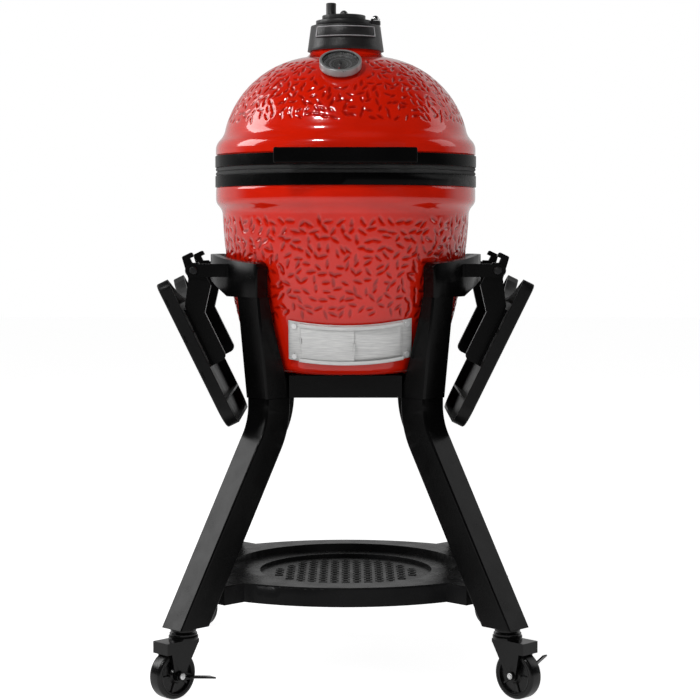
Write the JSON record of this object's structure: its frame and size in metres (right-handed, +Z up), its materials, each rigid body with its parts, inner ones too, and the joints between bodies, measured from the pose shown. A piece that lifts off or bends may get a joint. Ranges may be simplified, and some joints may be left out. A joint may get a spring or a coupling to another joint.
{
  "type": "kamado ceramic grill",
  "caption": "Egg-shaped glazed ceramic charcoal grill with hinged dome, top vent, draft door and folding side shelves, standing in a splayed steel cart on swivel casters.",
  "frame": {"origin": "on the floor, under the axis of the ceramic body, at the middle of the object's footprint", "axes": "+Z up, -Y towards the front with the draft door and thermometer, +X to the right seen from the front"},
  "size_m": [0.6107, 0.599, 1.094],
  "materials": {
    "glazed_shell": "glossy red glaze with recessed dimples",
    "raw_ceramic": "unglazed refractory",
    "felt": "black felt gasket",
    "band_steel": "satin black powder coat",
    "cart_steel": "fine-textured black powder coat",
    "stainless": "brushed stainless steel",
    "bright_fastener": "bright plated fastener",
    "dark_fastener": "blackened fastener",
    "cast_vent": "satin black cast aluminium",
    "cast_grate": "cast iron",
    "moulded_shelf": "fine-grained black moulding",
    "caster_steel": "glossy black coating",
    "caster_wheel": "black moulded wheel",
    "dial_face": "printed dial",
    "clear_lens": "clear lens",
    "needle_paint": "black pointer",
    "spring_steel": "spring wire"
  },
  "bodies": {
    "cart": {"ceramic_base": "glazed_shell", "base_band": "band_steel", "base_gasket": "felt", "draft_frame": "stainless", "draft_screws": "stainless", "fire_bowl": "raw_ceramic", "fire_ring": "raw_ceramic", "charcoal_grate": "cast_grate", "deflector_rack": "stainless", "heat_deflector": "raw_ceramic", "cooking_grate": "stainless", "hinge_base": "band_steel", "hinge_pin": "bright_fastener", "hinge_springs": "spring_steel", "side_strap_left": "cart_steel", "side_strap_right": "cart_steel", "cradle_frame": "cart_steel", "lower_shelf": "moulded_shelf", "frame_bolts": "dark_fastener", "shelf_brackets_left": "cart_steel", "shelf_brackets_right": "cart_steel", "shelf_pivot_bolts": "dark_fastener", "caster_stems": "caster_steel", "upper_leg_front_right": "cart_steel", "lower_leg_front_right": "cart_steel", "upper_leg_rear_right": "cart_steel", "lower_leg_rear_right": "cart_steel", "upper_leg_rear_left": "cart_steel", "lower_leg_rear_left": "cart_steel", "upper_leg_front_left": "cart_steel", "lower_leg_front_left": "cart_steel"},
    "lid": {"ceramic_dome": "glazed_shell", "dome_band": "band_steel", "dome_gasket": "felt", "lid_handle": "band_steel", "hinge_arm": "band_steel", "vent_collar": "cast_vent", "vent_pivot_bolt": "bright_fastener", "thermometer_case": "stainless", "thermometer_dial": "dial_face", "thermometer_lens": "clear_lens"},
    "vent_cap": {"vent_cap": "cast_vent"},
    "daisy_wheel": {"daisy_wheel": "cast_vent"},
    "thermometer_needle": {"thermometer_needle": "needle_paint"},
    "draft_door_left": {"draft_door_left": "stainless"},
    "draft_door_right": {"draft_door_right": "stainless"},
    "side_shelf_left": {"side_shelf_left": "moulded_shelf", "shelf_arms_left": "cart_steel"},
    "side_shelf_right": {"side_shelf_right": "moulded_shelf", "shelf_arms_right": "cart_steel"},
    "caster_fork_front_right": {"caster_fork_front_right": "caster_steel"},
    "caster_wheel_front_right": {"caster_wheel_front_right": "caster_wheel"},
    "caster_fork_rear_right": {"caster_fork_rear_right": "caster_steel"},
    "caster_wheel_rear_right": {"caster_wheel_rear_right": "caster_wheel"},
    "caster_fork_rear_left": {"caster_fork_rear_left": "caster_steel"},
    "caster_wheel_rear_left": {"caster_wheel_rear_left": "caster_wheel"},
    "caster_fork_front_left": {"caster_fork_front_left": "caster_steel"},
    "caster_wheel_front_left": {"caster_wheel_front_left": "caster_wheel"},
    "brake_lever_front_left": {"brake_lever_front_left": "caster_steel"},
    "brake_lever_front_right": {"brake_lever_front_right": "caster_steel"}
  },
  "joints": [
    {"name": "lid_hinge", "type": "hinge", "parent": "cart", "child": "lid", "pos_m": [0, 0.238, 0.8165], "axis": [-1, 0, 0], "range_deg": [0, 70], "stiffness_Nm_per_rad": 14, "springref_deg": 85.94},
    {"name": "vent_cap_swing", "type": "hinge", "parent": "lid", "child": "vent_cap", "pos_m": [0.049, 0, 1.061], "axis": [0, 0, -1], "range_deg": [0, 120]},
    {"name": "daisy_wheel_turn", "type": "hinge", "parent": "vent_cap", "child": "daisy_wheel", "pos_m": [-0.003, 0, 1.069], "axis": [0, 0, 1], "range_deg": [0, 36]},
    {"name": "thermometer_needle_turn", "type": "hinge", "parent": "lid", "child": "thermometer_needle", "pos_m": [-0.008, -0.136, 0.9766], "axis": [0, -0.5736, 0.8192], "range_deg": [-270, 0], "stiffness_Nm_per_rad": 0.001},
    {"name": "draft_door_left_slide", "type": "hinge", "parent": "cart", "child": "draft_door_left", "pos_m": [0, 0, 0.5893], "axis": [0, -0.299, 0.9542], "range_deg": [0, 24]},
    {"name": "draft_door_right_slide", "type": "hinge", "parent": "cart", "child": "draft_door_right", "pos_m": [0, 0, 0.5893], "axis": [0, -0.299, 0.9542], "range_deg": [-24, 0]},
    {"name": "side_shelf_left_fold", "type": "hinge", "parent": "cart", "child": "side_shelf_left", "pos_m": [-0.243, 0, 0.6565], "axis": [0, 1, 0], "range_deg": [0, 116]},
    {"name": "side_shelf_right_fold", "type": "hinge", "parent": "cart", "child": "side_shelf_right", "pos_m": [0.243, 0, 0.6565], "axis": [0, -1, 0], "range_deg": [0, 116]},
    {"name": "caster_swivel_front_right", "type": "hinge", "parent": "cart", "child": "caster_fork_front_right", "pos_m": [0.251, -0.251, 0.0925], "axis": [0, 0, 1], "continuous": true},
    {"name": "caster_roll_front_right", "type": "hinge", "parent": "caster_fork_front_right", "child": "caster_wheel_front_right", "pos_m": [0.26656, -0.26656, 0.0375], "axis": [0.7071, 0.7071, 0], "continuous": true},
    {"name": "brake_front_right", "type": "hinge", "parent": "caster_fork_front_right", "child": "brake_lever_front_right", "pos_m": [0.26656, -0.26656, 0.0375], "axis": [0.7071, 0.7071, 0], "range_deg": [0, 18]},
    {"name": "caster_swivel_rear_right", "type": "hinge", "parent": "cart", "child": "caster_fork_rear_right", "pos_m": [0.251, 0.251, 0.0925], "axis": [0, 0, 1], "continuous": true},
    {"name": "caster_roll_rear_right", "type": "hinge", "parent": "caster_fork_rear_right", "child": "caster_wheel_rear_right", "pos_m": [0.26656, 0.26656, 0.0375], "axis": [-0.7071, 0.7071, 0], "continuous": true},
    {"name": "caster_swivel_rear_left", "type": "hinge", "parent": "cart", "child": "caster_fork_rear_left", "pos_m": [-0.251, 0.251, 0.0925], "axis": [0, 0, 1], "continuous": true},
    {"name": "caster_roll_rear_left", "type": "hinge", "parent": "caster_fork_rear_left", "child": "caster_wheel_rear_left", "pos_m": [-0.26656, 0.26656, 0.0375], "axis": [-0.7071, -0.7071, 0], "continuous": true},
    {"name": "caster_swivel_front_left", "type": "hinge", "parent": "cart", "child": "caster_fork_front_left", "pos_m": [-0.251, -0.251, 0.0925], "axis": [0, 0, 1], "continuous": true},
    {"name": "caster_roll_front_left", "type": "hinge", "parent": "caster_fork_front_left", "child": "caster_wheel_front_left", "pos_m": [-0.26656, -0.26656, 0.0375], "axis": [0.7071, -0.7071, 0], "continuous": true},
    {"name": "brake_front_left", "type": "hinge", "parent": "caster_fork_front_left", "child": "brake_lever_front_left", "pos_m": [-0.26656, -0.26656, 0.0375], "axis": [0.7071, -0.7071, 0], "range_deg": [0, 18]}
  ]
}
